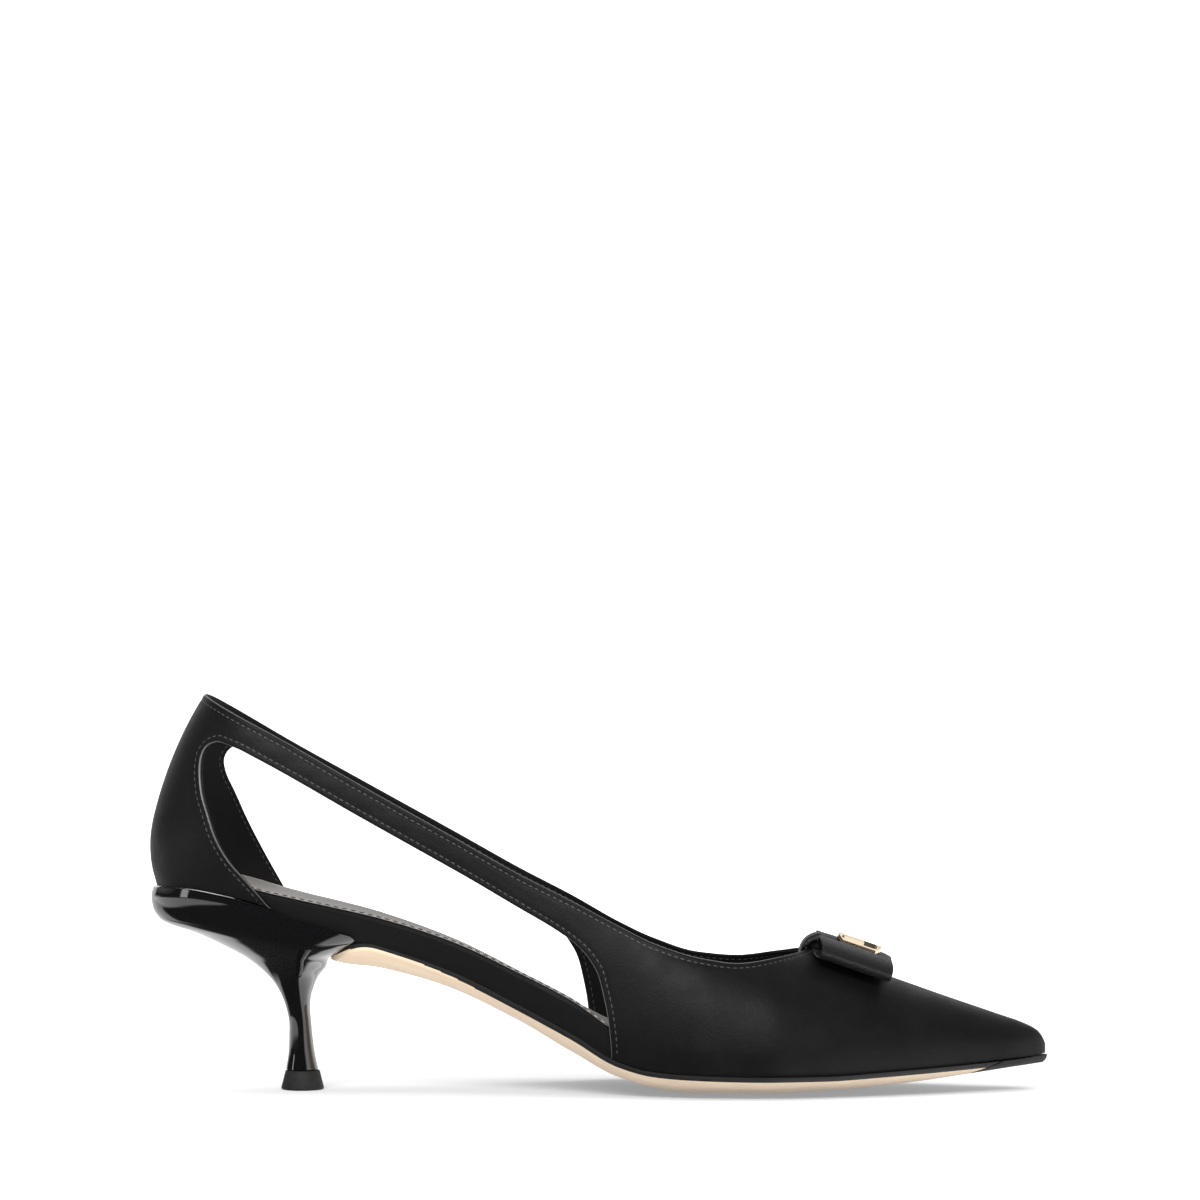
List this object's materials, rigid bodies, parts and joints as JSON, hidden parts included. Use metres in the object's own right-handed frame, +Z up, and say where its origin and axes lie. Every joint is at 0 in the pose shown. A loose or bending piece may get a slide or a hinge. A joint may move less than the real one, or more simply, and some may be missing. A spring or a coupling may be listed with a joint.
{
  "type": "kitten heel pump",
  "caption": "Pointed-toe pump with open sides, a strap along the topline, a ribbon bow with a bar plate at the throat and a slim sculpted kitten heel; one left shoe to wear.",
  "frame": {"origin": "on the floor, under the middle of the shoe's length, on the line from the heel to the toe", "axes": "+X to the toe, +Y to the outer (lateral) side of this left shoe, +Z up"},
  "size_m": [0.2497, 0.0734, 0.1101],
  "materials": {
    "satin": "black satin",
    "wrap": "smooth black",
    "sock_leather": "smooth warm grey",
    "sole_leather": "smooth beige",
    "rubber": "matte black",
    "lacquer": "high gloss black",
    "gold": "pale gold plate"
  },
  "bodies": {
    "root": {"upper": "satin", "insole": "wrap", "sock": "sock_leather", "outsole": "sole_leather", "toe_tip": "rubber", "heel": "lacquer", "top_lift": "rubber", "bow_ribbon": "satin", "bow_knot": "satin", "bow_plate": "gold"}
  },
  "joints": []
}
